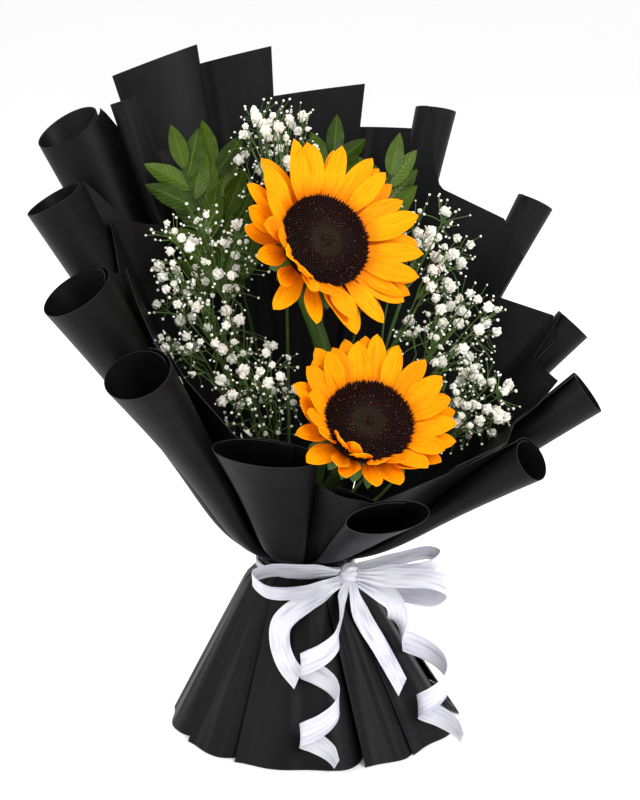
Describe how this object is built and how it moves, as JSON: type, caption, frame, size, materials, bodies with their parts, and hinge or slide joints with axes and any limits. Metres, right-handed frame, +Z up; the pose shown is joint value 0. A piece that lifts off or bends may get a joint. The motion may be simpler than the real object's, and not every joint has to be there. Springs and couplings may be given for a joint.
{
  "type": "bunch of sunflowers",
  "caption": "Hand-tied bunch of large yellow sunflowers with baby's breath and green sprigs in a dark rolled and pleated paper wrap, tied with a pale satin bow.",
  "frame": {"origin": "middle of the bunch's footprint box, on the surface that the skirt's hem and the cut stem ends stand on", "axes": "+Z up through the neck towards the flowers, the flowers face -Y, +X to the viewer's right"},
  "size_m": [0.4162, 0.2864, 0.5045],
  "materials": {
    "wrap_paper": "matte",
    "satin_ribbon": "satin",
    "petals": "satin",
    "seed_disc": "matte",
    "green_stem": "matte",
    "foliage": "satin",
    "small_blooms": "matte",
    "twine": "matte"
  },
  "bodies": {
    "root": {"upper_flower_disc": "seed_disc", "upper_inner_petals": "petals", "upper_outer_petals": "petals", "upper_bracts": "green_stem", "upper_receptacle": "green_stem", "upper_flower_stem": "green_stem", "lower_flower_disc": "seed_disc", "lower_inner_petals": "petals", "lower_outer_petals": "petals", "lower_bracts": "green_stem", "lower_receptacle": "green_stem", "lower_flower_stem": "green_stem", "babys_breath_back_left": "small_blooms", "babys_breath_upper_left": "small_blooms", "babys_breath_middle_left": "small_blooms", "babys_breath_lower_left": "small_blooms", "babys_breath_upper_right": "small_blooms", "babys_breath_middle_right": "small_blooms", "babys_breath_lower_right": "small_blooms", "green_sprig_far_left": "foliage", "green_sprig_left": "foliage", "green_sprig_right": "foliage", "green_sprig_far_right": "foliage", "stem_tie": "twine", "wrap_back_right_roll": "wrap_paper", "wrap_right_roll_1": "wrap_paper", "wrap_right_roll_2": "wrap_paper", "wrap_right_roll_3": "wrap_paper", "wrap_front_right_roll": "wrap_paper", "wrap_front_fold": "wrap_paper", "wrap_front_left_fold": "wrap_paper", "wrap_left_roll_1": "wrap_paper", "wrap_left_roll_2": "wrap_paper", "wrap_left_roll_3": "wrap_paper", "wrap_left_roll_4": "wrap_paper", "wrap_back_left_roll": "wrap_paper", "wrap_left_roll_5": "wrap_paper", "wrap_back_panel_left": "wrap_paper", "wrap_back_panel_middle": "wrap_paper", "wrap_back_panel_right": "wrap_paper", "skirt_front": "wrap_paper", "skirt_front_right": "wrap_paper", "skirt_right": "wrap_paper", "skirt_back_right": "wrap_paper", "skirt_back": "wrap_paper", "skirt_back_left": "wrap_paper", "skirt_left": "wrap_paper", "skirt_front_left": "wrap_paper", "ribbon_band": "satin_ribbon", "ribbon_knot": "satin_ribbon", "ribbon_loop_left": "satin_ribbon", "ribbon_loop_right_upper": "satin_ribbon", "ribbon_loop_right_lower": "satin_ribbon", "ribbon_tail_left": "satin_ribbon", "ribbon_tail_front_curl": "satin_ribbon", "ribbon_tail_straight": "satin_ribbon", "ribbon_tail_right_curl": "satin_ribbon"}
  },
  "joints": []
}
